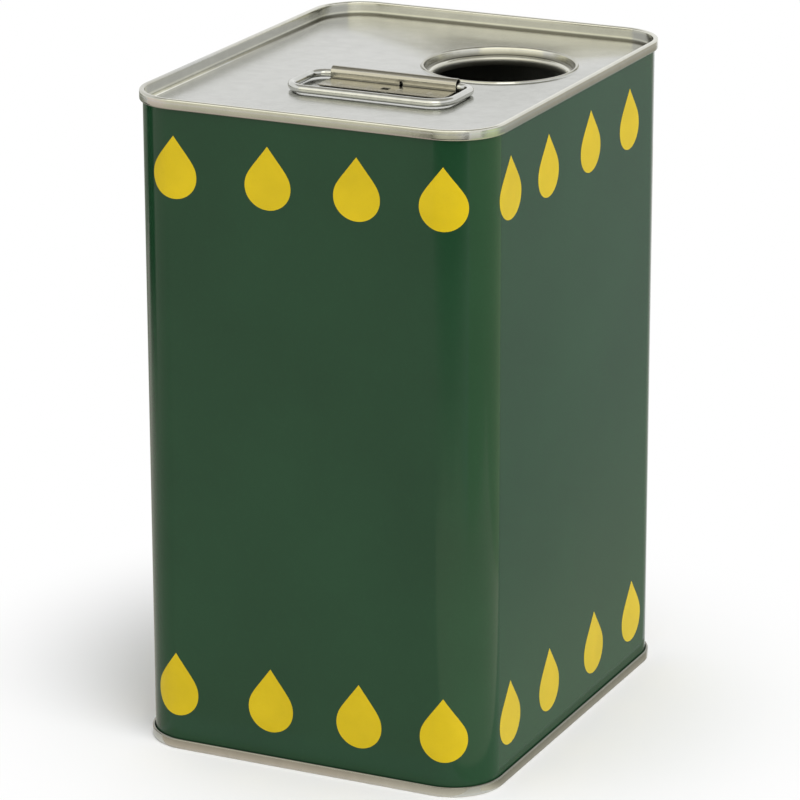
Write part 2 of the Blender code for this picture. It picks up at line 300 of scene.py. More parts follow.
class PrintSizes(PropertyGroup):
    """Sizes of the printed drops and of the bare margin at the weld."""

    drop_width: FloatProperty(
        name="Drop width", description="Width of a printed drop along the wall",
        default=0.0177, min=0.004, max=0.03, unit="LENGTH")
    top_row_height: FloatProperty(
        name="Top drops", description="Height of the top row's drops from foot to tip",
        default=0.0226, min=0.006, max=0.04, unit="LENGTH")
    bottom_row_height: FloatProperty(
        name="Bottom drops", description="Height of the bottom row's drops from foot to tip",
        default=0.0240, min=0.006, max=0.04, unit="LENGTH")
    ink_height: FloatProperty(
        name="Ink height", description="How far the ink film stands off the wall",
        default=0.00003, min=0.00001, max=0.0002, precision=5, unit="LENGTH")
    top_row_foot: FloatProperty(
        name="Top row", description="Height of the feet of the top row of drops",
        default=0.2063, min=0.12, max=0.22, unit="LENGTH")
    bottom_row_foot: FloatProperty(
        name="Bottom row", description="Height of the feet of the bottom row of drops",
        default=0.0127, min=0.006, max=0.1, unit="LENGTH")
    weld_margin: FloatProperty(
        name="Weld margin", description="Width of the bare strip at the welded side seam",
        default=0.0090, min=0.003, max=0.02, unit="LENGTH")


class MouthSizes(PropertyGroup):
    """Sizes of the pressed mouth in the top end."""

    centre_x: FloatProperty(
        name="Centre X", description="Mouth centre across the can", default=0.0250,
        unit="LENGTH")
    centre_y: FloatProperty(
        name="Centre Y", description="Mouth centre along the can", default=0.0270,
        unit="LENGTH")
    foot_radius: FloatProperty(
        name="Foot radius", description="Radius where the raised rim leaves the panel",
        default=0.0288, unit="LENGTH")
    crest_radius: FloatProperty(
        name="Crest radius", description="Radius of the top of the raised rim",
        default=0.0279, unit="LENGTH")
    crest_height: FloatProperty(
        name="Crest height", description="Height of the rim over the panel",
        default=0.0009, unit="LENGTH")
    crest_round: FloatProperty(
        name="Crest rounding", description="Rounding of the rim's top", default=0.00055,
        unit="LENGTH")
    recess_radius: FloatProperty(
        name="Recess radius", description="Radius at the foot of the recess wall",
        default=0.0268, unit="LENGTH")
    recess_depth: FloatProperty(
        name="Recess depth", description="Depth of the recess under the panel",
        default=0.0020, unit="LENGTH")
    recess_fillet: FloatProperty(
        name="Recess fillet", description="Rounding at the foot of the recess wall",
        default=0.00045, unit="LENGTH")
    shoulder_round: FloatProperty(
        name="Shoulder rounding", description="Rounding where the throat turns down",
        default=0.0012, unit="LENGTH")
    throat_radius: FloatProperty(
        name="Throat radius", description="Radius of the open throat", default=0.0244,
        unit="LENGTH")
    throat_depth: FloatProperty(
        name="Throat depth", description="Depth of the throat's lower edge",
        default=0.0052, unit="LENGTH")


class HandleSizes(PropertyGroup):
    """Sizes of the wire handle and its bracket."""

    bend_radius: FloatProperty(
        name="Bend radius", description="Bend of the wire at the bracket's ends",
        default=0.0060, unit="LENGTH")
    corner_radius: FloatProperty(
        name="Corner radius", description="Bend of the wire at the grip's corners",
        default=0.0080, unit="LENGTH")
    end_gap: FloatProperty(
        name="End gap", description="Room between the wire's two ends", default=0.0060,
        unit="LENGTH")
    weld_spots: IntProperty(
        name="Weld spots", description="Spot welds along each flange", default=4, min=2,
        max=8)


class Finishes(PropertyGroup):
    """Colours of the finishes."""

    green: FloatVectorProperty(
        name="Green ink", description="Ground colour of the printed body",
        default=(0.0115, 0.0500, 0.0200), subtype="COLOR", min=0.0, max=1.0)
    yellow: FloatVectorProperty(
        name="Yellow ink", description="Colour of the printed drops",
        default=(0.625, 0.455, 0.008), subtype="COLOR", min=0.0, max=1.0)
    tinplate: FloatVectorProperty(
        name="Tinplate", description="Colour of the bright end panels",
        default=(0.535, 0.540, 0.515), subtype="COLOR", min=0.0, max=1.0)
    formed: FloatVectorProperty(
        name="Formed tinplate", description="Colour of the tinplate where it was worked",
        default=(0.535, 0.530, 0.468), subtype="COLOR", min=0.0, max=1.0)
    # Painted shade: the colour that the ends take deep in their creases and the bracket in its
    # folds, where shade falls.
    crease: FloatVectorProperty(
        name="Crease", description="Colour of the tinplate deep in its creases",
        default=(0.085, 0.080, 0.058), subtype="COLOR", min=0.0, max=1.0)
    bracket: FloatVectorProperty(
        name="Bracket", description="Colour of the bracket's tinplate",
        default=(0.520, 0.500, 0.432), subtype="COLOR", min=0.0, max=1.0)
    wire: FloatVectorProperty(
        name="Wire", description="Colour of the bright wire",
        default=(0.640, 0.645, 0.615), subtype="COLOR", min=0.0, max=1.0)
    compound: FloatVectorProperty(
        name="Compound", description="Colour of the sealing compound",
        default=(0.600, 0.570, 0.470), subtype="COLOR", min=0.0, max=1.0)


class NodeBench:
    """A short way to lay out the nodes of a material or of the world."""

    def __init__(self, tree):
        self.tree = tree
        self.look = bpy.context.scene.tin_finishes
        self.shader = tree.nodes.get("Principled BSDF")

    @cached_property
    def coords(self):
        return self.add("ShaderNodeTexCoord").outputs["Object"]

    def link(self, source, target):
        self.tree.links.new(source, target)

    def add(self, kind, **settings):
        node = self.tree.nodes.new(kind)
        for key, value in settings.items():
            setattr(node, key, value)
        return node

    def mapped(self, scale):
        """Object coordinates stretched by a scale for each axis."""
        node = self.add("ShaderNodeMapping")
        node.inputs["Scale"].default_value = scale
        self.link(self.coords, node.inputs["Vector"])
        return node.outputs["Vector"]

    def noise(self, scale, detail=3.0, roughness=0.5, vector=None):
        node = self.add("ShaderNodeTexNoise")
        node.inputs["Scale"].default_value = scale
        node.inputs["Detail"].default_value = detail
        node.inputs["Roughness"].default_value = roughness
        self.link(vector or self.coords, node.inputs["Vector"])
        return node.outputs["Fac"]

    def math(self, operation, first, second=0.0, third=0.0):
        node = self.add("ShaderNodeMath", operation=operation)
        for socket, value in zip(node.inputs, (first, second, third)):
            if isinstance(value, (int, float)):
                socket.default_value = value
            else:
                self.link(value, socket)
        return node.outputs["Value"]

    def spread(self, source, low, high, from_low=0.0, from_high=1.0, ease="LINEAR"):
        """Map a value to a range, with its ends held."""
        node = self.add("ShaderNodeMapRange", interpolation_type=ease)
        node.inputs["From Min"].default_value = from_low
        node.inputs["From Max"].default_value = from_high
        node.inputs["To Min"].default_value = low
        node.inputs["To Max"].default_value = high
        self.link(source, node.inputs["Value"])
        return node.outputs["Result"]

    def mix(self, factor, first, second, clamp=True):
        """Mix two colours by a factor, that can pass the second one when it isn't clamped."""
        node = self.add("ShaderNodeMix", data_type="RGBA", clamp_factor=clamp)
        self.link(factor, node.inputs["Factor"])
        for index, value in ((6, first), (7, second)):
            if isinstance(value, (tuple, list)):
                node.inputs[index].default_value = value
            else:
                self.link(value, node.inputs[index])
        return node.outputs[2]

    def tint(self, factor, finish, low, high):
        """Mix a darker and a lighter shade of one of the finishes."""
        colour = getattr(self.look, finish)
        return self.mix(factor, shade(colour, low), shade(colour, high))

    def bump(self, height, strength, distance, below=None):
        node = self.add("ShaderNodeBump")
        node.inputs["Strength"].default_value = strength
        node.inputs["Distance"].default_value = distance
        self.link(height, node.inputs["Height"])
        if below:
            self.link(below, node.inputs["Normal"])
        return node.outputs["Normal"]

    def attribute(self, name):
        return self.add("ShaderNodeAttribute", attribute_name=name).outputs["Fac"]

    def plain(self, **values):
        """Set sockets that are the same all over the surface."""
        for key, value in values.items():
            self.shader.inputs[key.replace("_", " ")].default_value = value

    def feed(self, socket, source):
        self.link(source, self.shader.inputs[socket])

    def seen(self):
        """1 for rays from the camera, mirrors and glass, and 0 for the rest."""
        path = self.add("ShaderNodeLightPath")
        direct = self.math("MAXIMUM", path.outputs["Is Camera Ray"], path.outputs["Is Glossy Ray"])
        return self.math("MAXIMUM", direct, path.outputs["Is Transmission Ray"])

    def surface(self, source):
        """Show a shader on the material's surface."""
        self.link(source, self.tree.nodes["Material Output"].inputs["Surface"])


def shade(colour, factor):
    """A colour made lighter or darker, with alpha."""
    return (*(channel * factor for channel in colour), 1.0)


def new_material(name, build, *values):
    """Make a material with a function that lays out its nodes on a bench."""
    material = bpy.data.materials.new(name)
    material.use_nodes = True
    build(NodeBench(material.node_tree), *values)
    return material


def finished(build):
    """Return the material of a function, made the first time it is asked for."""
    name = build.__name__
    return bpy.data.materials.get(name) or new_material(name, build)


def varnish_bumps(bench):
    """Slow waves of the printed sheet, and the fine peel of its varnish."""
    wave = bench.bump(bench.noise(9.0, 1.0), 0.22, 0.0022)
    bench.feed("Normal", bench.bump(bench.noise(520.0, 2.0), 0.05, 0.0002, wave))


def printed_green(bench):
    """Green litho ink under gloss varnish, with the bare margin at the weld."""
    cloud = bench.spread(bench.noise(18.0, 4.0), 0.0, 1.0, 0.35, 0.65)
    fleck = bench.spread(bench.noise(900.0, 2.0, 0.6), 0.0, 0.10, 0.55, 0.75)
    ink = bench.mix(fleck, bench.tint(cloud, "green", 0.93, 1.07), shade(bench.look.green, 1.8))
    place = bench.add("ShaderNodeSeparateXYZ")
    bench.link(bench.coords, place.inputs["Vector"])
    from_weld = bench.math("ABSOLUTE", place.outputs["X"])
    ragged = bench.math("MULTIPLY_ADD", bench.noise(220.0, 2.0), INK_RAGGED, from_weld)
    near = bench.math("LESS_THAN", ragged, bpy.context.scene.tin_print.weld_margin / 2)
    behind = bench.math("GREATER_THAN", place.outputs["Y"], 0.0)
    bare = bench.math("MULTIPLY", near, behind)
    bench.feed("Base Color", bench.mix(bare, ink, shade(bench.look.tinplate, 0.82)))
    bench.feed("Metallic", bare)
    rough = bench.spread(bench.noise(35.0, 3.0), 0.10, 0.14, 0.3, 0.7)
    bench.feed("Roughness", bench.math("MULTIPLY_ADD", bare, 0.12, rough))
    bench.plain(IOR=1.32)
    varnish_bumps(bench)


def printed_yellow(bench):
    """Yellow ink of the drops under the same varnish."""
    cloud = bench.spread(bench.noise(60.0, 3.0), 0.0, 1.0, 0.35, 0.65)
    fleck = bench.spread(bench.noise(1200.0, 2.0, 0.6), 0.0, 0.12, 0.55, 0.75)
    ink = bench.mix(fleck, bench.tint(cloud, "yellow", 0.95, 1.05), shade(bench.look.yellow, 0.7))
    bench.feed("Base Color", ink)
    bench.feed("Roughness", bench.spread(bench.noise(35.0, 3.0), 0.18, 0.24, 0.3, 0.7))
    bench.plain(IOR=1.24)
    varnish_bumps(bench)


def inside_plate(bench):
    """Plain tinplate of the can's inside, a little dull."""
    grain = bench.noise(60.0, 4.0, 0.6, bench.mapped((26.0, 26.0, 1.0)))
    clear = bench.spread(grain, 0.0, 1.0, 0.3, 0.7)
    bench.feed("Base Color", bench.tint(clear, "tinplate", 0.80, 0.88))
    bench.plain(Metallic=1.0)
    bench.feed("Roughness", bench.spread(grain, 0.30, 0.42, 0.3, 0.7))
    bench.feed("Normal", bench.bump(grain, 0.06, 0.0003))


def weld_steel(bench):
    """Blued steel of the resistance weld, with its row of nuggets."""
    wave = bench.add("ShaderNodeTexWave", wave_type="BANDS", bands_direction="Z")
    wave.inputs["Scale"].default_value = 200.0
    wave.inputs["Distortion"].default_value = 1.5
    wave.inputs["Detail"].default_value = 2.0
    bench.link(bench.coords, wave.inputs["Vector"])
    nuggets = wave.outputs["Fac"]
    bench.feed("Base Color", bench.tint(nuggets, "tinplate", 0.38, 0.68))
    bench.plain(Metallic=1.0)
    bench.feed("Roughness", bench.spread(nuggets, 0.30, 0.45))
    bench.feed("Normal", bench.bump(nuggets, 0.5, 0.0002))


def bright_tinplate(bench):
    """Bright rolled tinplate with painted light and shade: darker towards the painted crease shade
    and duller where the painted shading is low, and a painted highlight where it is above 1.
    """
    look = bench.look
    mouth = bpy.context.scene.tin_mouth
    tone = bench.attribute("tone")
    grain = bench.noise(60.0, 4.0, 0.6, bench.mapped((1.0, 26.0, 1.0)))
    cloud = bench.spread(bench.noise(30.0, 4.0), 0.97, 1.03, 0.3, 0.7)
    wear = bench.spread(bench.noise(160.0, 5.0, 0.65), 0.90, 1.0, 0.3, 0.6)
    shading_and_wear = bench.math("MULTIPLY", bench.math("MULTIPLY", tone, cloud), wear)
    from_panel = bench.math("ABSOLUTE", bench.math("SUBTRACT", tone, PANEL_TONE))
    formed = bench.spread(from_panel, 0.0, 1.0, 0.01, 0.08)
    metal = bench.mix(formed, shade(look.tinplate, 1.05), shade(look.formed, 1.05))
    # The painted light and shade, varied by noise and wear, pulls the metal towards the painted
    # crease shade below 1 and past it into a painted highlight above 1.
    bench.feed("Base Color", bench.mix(shading_and_wear, shade(look.crease, 1.0), metal, clamp=False))
    bench.plain(Metallic=1.0)
    rough = bench.spread(grain, 0.18, 0.24, 0.3, 0.7)
    dull = bench.spread(tone, 0.10, 0.0, 0.3, 0.9)
    shine = bench.math("MULTIPLY_ADD", formed, -0.10, rough)
    # The height counts for less in this distance, which still leaves the bottom end out.
    away = bench.add("ShaderNodeVectorMath", operation="DISTANCE")
    bench.link(bench.mapped((1.0, 1.0, HEIGHT_SHARE)), away.inputs[0])
    away.inputs[1].default_value = (mouth.centre_x, mouth.centre_y, CAN_HEIGHT * HEIGHT_SHARE)
    throat = bench.math("LESS_THAN", away.outputs["Value"], mouth.throat_radius + SHEET)
    shine = bench.math("MULTIPLY_ADD", throat, THROAT_DULLING, shine)
    bench.feed("Roughness", bench.math("ADD", shine, dull))
    wave = bench.bump(bench.noise(14.0, 2.0), 0.16, 0.0016)
    lines = bench.bump(grain, 0.04, 0.0002, wave)
    marks = bench.bump(bench.noise(420.0, 3.0, 0.6), 0.04, 0.0003, lines)
    bench.feed("Normal", marks)


def folded_plate(bench):
    """Thicker tinplate of the bracket, streaked along its folds, with painted shade in its creases
    and a painted highlight up its front leg.
    """
    streak = bench.noise(90.0, 4.0, 0.6, bench.mapped((0.4, 14.0, 14.0)))
    metal = bench.tint(bench.spread(streak, 0.0, 1.0, 0.3, 0.7), "bracket", 0.74, 1.16)
    # The painted crease shade, made patchy by noise, pulls the metal towards the dark crease
    # colour, and past it into a painted highlight below 0.
    patchy_shade = bench.spread(bench.noise(260.0, 3.0), 0.75, 1.0, 0.3, 0.6)
    patchy_shade = bench.math("MULTIPLY", bench.attribute("crease"), patchy_shade)
    dark = shade(bench.look.crease, 1.1)
    bench.feed("Base Color", bench.mix(patchy_shade, metal, dark, clamp=False))
    bench.plain(Metallic=1.0)
    bench.feed("Roughness", bench.spread(streak, 0.14, 0.26, 0.3, 0.7))
    dents = bench.bump(bench.noise(300.0, 3.0), 0.12, 0.0004)
    bench.feed("Normal", bench.bump(streak, 0.10, 0.0003, dents))


def drawn_wire(bench):
    """Bright zinc-coated wire with faint drawing marks."""
    cloud = bench.noise(260.0, 4.0)
    clear = bench.spread(cloud, 0.0, 1.0, 0.3, 0.7)
    bench.feed("Base Color", bench.tint(clear, "wire", 0.90, 1.04))
    bench.plain(Metallic=1.0)
    bench.feed("Roughness", bench.spread(cloud, 0.12, 0.20, 0.3, 0.7))
    bench.feed("Normal", bench.bump(bench.noise(900.0, 3.0), 0.06, 0.0002))


def sealing_compound(bench):
    """Cream rubber compound, slightly grainy."""
    cloud = bench.noise(300.0, 4.0)
    bench.feed("Base Color", bench.tint(cloud, "compound", 0.85, 1.05))
    bench.feed("Roughness", bench.spread(cloud, 0.55, 0.75))
    bench.feed("Normal", bench.bump(cloud, 0.2, 0.0002))


def arc(centre_u, centre_v, radius, start_deg, end_deg, steps):
    """Points of an arc in a section plane, both ends included."""
    points = []
    for step in range(steps + 1):
        angle = math.radians(start_deg + (end_deg - start_deg) * step / steps)
        points.append((centre_u + radius * math.cos(angle), centre_v + radius * math.sin(angle)))
    return points


def wall_point(along, offset):
    """Point of the body's outline at a distance along it, and the way out there.

    The distance runs anticlockwise from the middle of the front wall.
    """
    along = along % GIRTH
    runs = (CORE_X, CORNER_ARC, 2 * CORE_Y, CORNER_ARC, 2 * CORE_X, CORNER_ARC, 2 * CORE_Y,
            CORNER_ARC, CORE_X)
    centres = ((CORE_X, -CORE_Y), (CORE_X, CORE_Y), (-CORE_X, CORE_Y), (-CORE_X, -CORE_Y))
    index = 0
    while along > runs[index]:
        along -= runs[index]
        index += 1
    quarter = index // 2
    facing = quarter * 90 - 90
    if index % 2:
        centre = Vector(centres[quarter])
        angle = math.radians(facing + math.degrees(along / CORNER_RADIUS))
        out = Vector((math.cos(angle), math.sin(angle)))
        return centre + out * (CORNER_RADIUS + offset), out
    out = Vector((math.cos(math.radians(facing)), math.sin(math.radians(facing))))
    travel = Vector((-out.y, out.x))
    if index == 0:
        base = Vector((0.0, -CORE_Y))
    else:
        base = Vector(centres[quarter - 1])
    return base + out * (CORNER_RADIUS + offset) + travel * along, out


def way_out(point):
    """Nearest place on the body's inner core, and the way out from there to a point."""
    base = Vector((max(-CORE_X, min(CORE_X, point.x)), max(-CORE_Y, min(CORE_Y, point.y))))
    return base, (point.xy - base).normalized()


def ring_place(point, offset):
    """Move a point square to the body's outline, to another offset from the wall."""
    base, out = way_out(point)
    return base + out * (CORNER_RADIUS + offset)


def start_ring(bm, offset, height):
    """Draw a closed rounded rectangle at an offset from the body's wall."""
    reach = CORNER_RADIUS + offset
    outline = []
    for side_x, side_y, turn in ((1, 1, 0), (-1, 1, 90), (-1, -1, 180), (1, -1, 270)):
        outline += arc(side_x * CORE_X, side_y * CORE_Y, reach, turn, turn + 90, CORNER_STEPS)
    verts = [bm.verts.new((x, y, height)) for x, y in outline]
    return [bm.edges.new((a, b)) for a, b in zip(verts, verts[1:] + verts[:1])]


def extrude_edges(bm, edges):
    """Extrude edges in place, and return the new vertices and their edges."""
    made = bmesh.ops.extrude_edge_only(bm, edges=edges)["geom"]
    verts = [item for item in made if isinstance(item, bmesh.types.BMVert)]
    fresh = set(verts)
    lines = [item for item in made
             if isinstance(item, bmesh.types.BMEdge) and set(item.verts) <= fresh]
    return verts, lines


def sweep_section(bm, section, layer=None):
    """Sweep (offset, height, values) points round the outline, with values for side_of."""
    ring = start_ring(bm, *section[0][:2])
    verts = bm.verts[:]
    for step, (offset, height, values) in enumerate(section):
        if step:
            verts, ring = extrude_edges(bm, ring)
        for vert in verts:
            vert.co.xy = ring_place(vert.co, offset)
            vert.co.z = height
            if layer:
                vert[layer] = values[side_of(vert.co)]
    return ring


def widen_ring(bm, ring, centre, radius, height):
    """Extrude a round ring, and set the new one to a radius round a centre and to a height."""
    verts, ring = extrude_edges(bm, ring)
    for vert in verts:
        vert.co.xy = centre + (vert.co.xy - centre).normalized() * radius
        vert.co.z = height
    return verts, ring


def add_ring(bm, steps, radius, matrix):
    """Draw a circle, and return its vertices and edges."""
    old = set(bm.verts)
    bmesh.ops.create_circle(bm, segments=steps, radius=radius, matrix=matrix)
    fresh = [vert for vert in bm.verts if vert not in old]
    return fresh, list({edge for vert in fresh for edge in vert.link_edges})


def side_of(point):
    """Number of the side that a point is on: 0 front or right, 1 back, 2 left."""
    if point.y > CORE_Y:
        return 1
    return 2 if point.x < -CORE_X else 0


def body_hook_section():
    """Body hook as (offset, depth): its tip, the turn over the cover hook, the wall."""
    turn = arc(COVER_HOOK_LINE, -BODY_TURN_DEPTH, LAYER_PITCH, 0, 180, HOOK_STEPS)
    return [(BODY_HOOK_LINE, COVER_TURN_DEPTH)] + [(offset, -height) for offset, height in turn]


def end_section(share=1.0):
    """Section of an end as (offset, depth, painted light and shade for each side), from its hook
    to its panel, with the painted shading scaled by a share.
    """
    turn = arc(BODY_HOOK_LINE, -COVER_TURN_DEPTH, LAYER_PITCH, 180, 360, HOOK_STEPS)
    outer_corner = arc(OUTER_WALL_LINE - CROWN_RADIUS, -CROWN_DEPTH - CROWN_RADIUS,
                       CROWN_RADIUS, 0, 90, CROWN_STEPS)
    inner_corner = arc(CHUCK_WALL_LINE + CROWN_RADIUS, -CROWN_DEPTH - CROWN_RADIUS,
                       CROWN_RADIUS, 90, 180, CROWN_STEPS)
    groove = arc(CHUCK_WALL_LINE - GROOVE_RADIUS, -PANEL_DEPTH, GROOVE_RADIUS, 0, -135,
                 GROOVE_STEPS)
    foot = CHUCK_WALL_LINE - GROOVE_RADIUS - GROOVE_RADIUS * math.sqrt(2)
    section = [(COVER_HOOK_LINE, BODY_TURN_DEPTH, HOOK_TONE)]
    section += [(offset, -height, HOOK_TONE) for offset, height in turn[:-1]]
    wall_top = CROWN_DEPTH + CROWN_RADIUS
    section += [(OUTER_WALL_LINE, depth, tone) for depth, tone in (
        (COVER_TURN_DEPTH, WALL_FOOT_TONE), (COVER_TURN_DEPTH - WALL_KEEPER, WALL_FOOT_TONE),
        (wall_top + WALL_KEEPER, WALL_TONE), (wall_top, WALL_TONE))]
    section += [(offset, -height, CREST_TONES) for offset, height in outer_corner[1:]]
    section += [(offset, -height, CREST_TONES) for offset, height in inner_corner]
    wall_foot = PANEL_DEPTH - GROOVE_RADIUS
    section += [(CHUCK_WALL_LINE, depth, tone) for depth, tone in (
        (wall_top + CHUCK_SHADE_DEPTH, CHUCK_TONE), (wall_foot - CHUCK_GLINT * 2, CHUCK_TONE),
        (wall_foot - CHUCK_GLINT, CHUCK_GLINT_TONES), (wall_foot, CHUCK_FOOT_TONES))]
    section += [(offset, -height, GROOVE_TONES) for offset, height in groove[1:]]
    section.append((foot, PANEL_DEPTH, PANEL_TONE))
    return [(offset, depth, side_tones(tone, share)) for offset, depth, tone in section]


def side_tones(tone, share=1.0):
    """Painted light and shade of a place for each side, from three values or from one for all,
    scaled by a share.
    """
    tones = tone if isinstance(tone, tuple) else (tone,) * 3
    return tuple(part * share for part in tones)


def mouth_section(sizes):
    """Section of the mouth as (radius, height over the panel, painted light and shade), outside
    first; the recess and the throat's edge are painted dark, the recess wall and the shoulder
    painted bright.
    """
    rise = sizes.foot_radius - sizes.crest_radius
    crest_middle = sizes.crest_height - sizes.crest_round
    outside = [(sizes.foot_radius - rise * share_in, sizes.crest_height * share_up)
               for share_in, share_up in RISE_SHARES]
    crest = arc(sizes.crest_radius, crest_middle, sizes.crest_round, RIM_START_DEG, 180,
                RIM_STEPS)
    recess = arc(sizes.recess_radius - sizes.recess_fillet,
                 sizes.recess_fillet - sizes.recess_depth, sizes.recess_fillet, 0, -90,
                 FILLET_STEPS)
    shoulder = arc(sizes.throat_radius + sizes.shoulder_round,
                   -sizes.recess_depth - sizes.shoulder_round, sizes.shoulder_round, 90, 180,
                   SHOULDER_STEPS)
    section = [(*point, PANEL_TONE) for point in outside]
    section += [(*point, RIM_TONE) for point in crest[:-2]]
    section += [(*point, RECESS_WALL_TONE) for point in crest[-2:]]
    section += [(*point, RECESS_TONE) for point in recess]
    section += [(*point, SHOULDER_TONE) for point in shoulder[:-1]]
    section.append((*shoulder[-1], THROAT_TONE))
    section.append((sizes.throat_radius, -sizes.throat_depth, THROAT_EDGE_TONE))
    return section


def add_mouth(bm, panel_ring, panel_height, layer):
    """Press the mouth into the panel, and fill the panel round it."""
    sizes = bpy.context.scene.tin_mouth
    section = mouth_section(sizes)
    centre = Vector((sizes.centre_x, sizes.centre_y))
    fresh, ring = add_ring(bm, MOUTH_STEPS, section[0][0],
                           Matrix.Translation((*centre, panel_height)))
    bmesh.ops.triangle_fill(bm, use_beauty=True, use_dissolve=False, edges=panel_ring + ring)
    for vert in fresh:
        vert[layer] = PANEL_TONE
    # Each ring of the mouth gets its painted light and shade.
    for radius, height, tone in section[1:]:
        verts, ring = widen_ring(bm, ring, centre, radius, panel_height + height)
        for vert in verts:
            vert[layer] = tone


def finish_mesh(bm, name, crease_deg=PLATE_CREASE_DEG, outward=True):
    """Turn a bmesh into a smooth-shaded object that sits at the origin."""
    if outward:
        bmesh.ops.recalc_face_normals(bm, faces=bm.faces[:])
    mesh = bpy.data.meshes.new(name)
    bm.to_mesh(mesh)
    bm.free()
    mesh.shade_smooth()
    mesh.set_sharp_from_angle(angle=math.radians(crease_deg))
    piece = bpy.data.objects.new(name, mesh)
    bpy.context.scene.collection.objects.link(piece)
    return piece


def thicken(piece, thickness, inner_material=0):
    """Give an open surface an even wall, half to each side."""
    wall = piece.modifiers.new("wall", "SOLIDIFY")
    wall.thickness = thickness
    wall.offset = 0.0
    wall.use_even_offset = True
    wall.use_quality_normals = True
    wall.material_offset = inner_material


def dress(piece, finishes, body, slot_name, *nodes):
    """Give a piece its materials, body and the solids that it stands for; its slot name is not
    used.
    """
    for finish in finishes:
        piece.data.materials.append(finished(finish))
    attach(piece, body)
    if nodes:
        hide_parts(*nodes)


class TIN_OT_body(Operator):
    """Roll the printed body, hooked at both ends and bare inside"""

    bl_idname = "tin.body"
    bl_label = "Printed body"

    def execute(self, context):
        hook = body_hook_section()
        path = [(offset, CAN_HEIGHT - depth, 0.0) for offset, depth in hook]
        path += [(offset, depth, 0.0) for offset, depth in reversed(hook)]
        bm = bmesh.new()
        sweep_section(bm, path)
        bmesh.ops.recalc_face_normals(bm, faces=bm.faces[:])
        wall = max(bm.faces, key=lambda face: face.calc_area())
        out = wall.calc_center_median().xy
        if wall.normal.xy.dot(out) < 0.0:
            bmesh.ops.reverse_faces(bm, faces=bm.faces[:])
        body = finish_mesh(bm, "printed_body", outward=False)
        thicken(body, SHEET, inner_material=1)
        dress(body, (printed_green, inside_plate), CAN, "green_litho", "body_shell")
        return {"FINISHED"}


class TIN_OT_weld(Operator):
    """Lay the welded lap down the bare margin of the back wall"""

    bl_idname = "tin.weld"
    bl_label = "Side seam weld"

    def execute(self, context):
        length = CAN_HEIGHT - 2 * (SEAM_HEIGHT + WELD_END_ROOM)
        bm = bmesh.new()
        bmesh.ops.create_cube(bm, size=1.0)
        bmesh.ops.scale(bm, vec=(WELD_WIDTH, WELD_PROUD + WELD_SEAT, length), verts=bm.verts[:])
        middle_y = HALF_DEPTH + (WELD_PROUD - WELD_SEAT) / 2
        bmesh.ops.translate(bm, vec=(0.0, middle_y, CAN_HEIGHT / 2), verts=bm.verts[:])
        outer = [edge for edge in bm.edges
                 if all(vert.co.y > HALF_DEPTH for vert in edge.verts)]
        bmesh.ops.bevel(bm, geom=outer, offset=WELD_PROUD / 2, segments=3, profile=0.5,
                        affect="EDGES", material=-1)
        lap = finish_mesh(bm, "side_seam_weld")
        dress(lap, (weld_steel,), CAN, "tinplate_bottom")
        return {"FINISHED"}


class TIN_OT_ends(Operator):
    """Seam the two ends: the top with its pressed mouth, the bottom with its step"""

    bl_idname = "tin.ends"
    bl_label = "Seamed ends"

    def execute(self, context):
        bm = bmesh.new()
        # Each vertex carries the painted light and shade of its place in an attribute.
        tone = bm.verts.layers.float.new("tone")
        ring = sweep_section(bm, [(offset, CAN_HEIGHT - depth, tones)
                                  for offset, depth, tones in end_section()], tone)
        add_mouth(bm, ring, CAN_HEIGHT - PANEL_DEPTH, tone)
        top = finish_mesh(bm, "seamed_top")
        thicken(top, SHEET)
        dress(top, (bright_tinplate,), CAN, "tinplate_top", "top_end")

        # The bottom end is painted darker by a share out to its panel, and its step is painted a
        # little darker than plain.
        section = end_section(BOTTOM_TONE)
        section.append((-STEP_INSET, PANEL_DEPTH, side_tones(PANEL_TONE)))
        section += [(-STEP_INSET - STEP_SLOPE * share_in, PANEL_DEPTH + STEP_HEIGHT * share_up,
                     side_tones(STEP_TONE)) for share_in, share_up in STEP_SHARES]
        bm = bmesh.new()
        tone = bm.verts.layers.float.new("tone")
        ring = sweep_section(bm, section, tone)
        bmesh.ops.contextual_create(bm, geom=ring)
        bottom = finish_mesh(bm, "seamed_bottom")
        thicken(bottom, SHEET)
        dress(bottom, (bright_tinplate,), CAN, "tinplate_bottom", "bottom_end")
        return {"FINISHED"}


def drop_outline(width, height):
    """Outline of a drop as (along, up) from the middle of its foot, tip up."""
    half = width / 2
    belly = height * BELLY_SHARE
    side = []
    lift = height - belly
    first = Vector((half, belly))
    pull = Vector((half, belly + lift * SIDE_PULL_SHARE))
    tip_pull = Vector((half * TIP_SPREAD_SHARE, belly + lift * TIP_PULL_SHARE))
    tip = Vector((0.0, height))
    for step in range(SIDE_STEPS + 1):
        t = step / SIDE_STEPS
        side.append(first * (1 - t) ** 3 + pull * 3 * t * (1 - t) ** 2
                    + tip_pull * 3 * t * t * (1 - t) + tip * t ** 3)
    foot = [Vector((half * math.cos(angle), belly + belly * math.sin(angle)))
            for angle in (math.radians(-90 + 90 * step / FOOT_STEPS)
                          for step in range(FOOT_STEPS))]
    right = foot + side
    left = [Vector((-point.x, point.y)) for point in reversed(right[1:-1])]
    return right + left


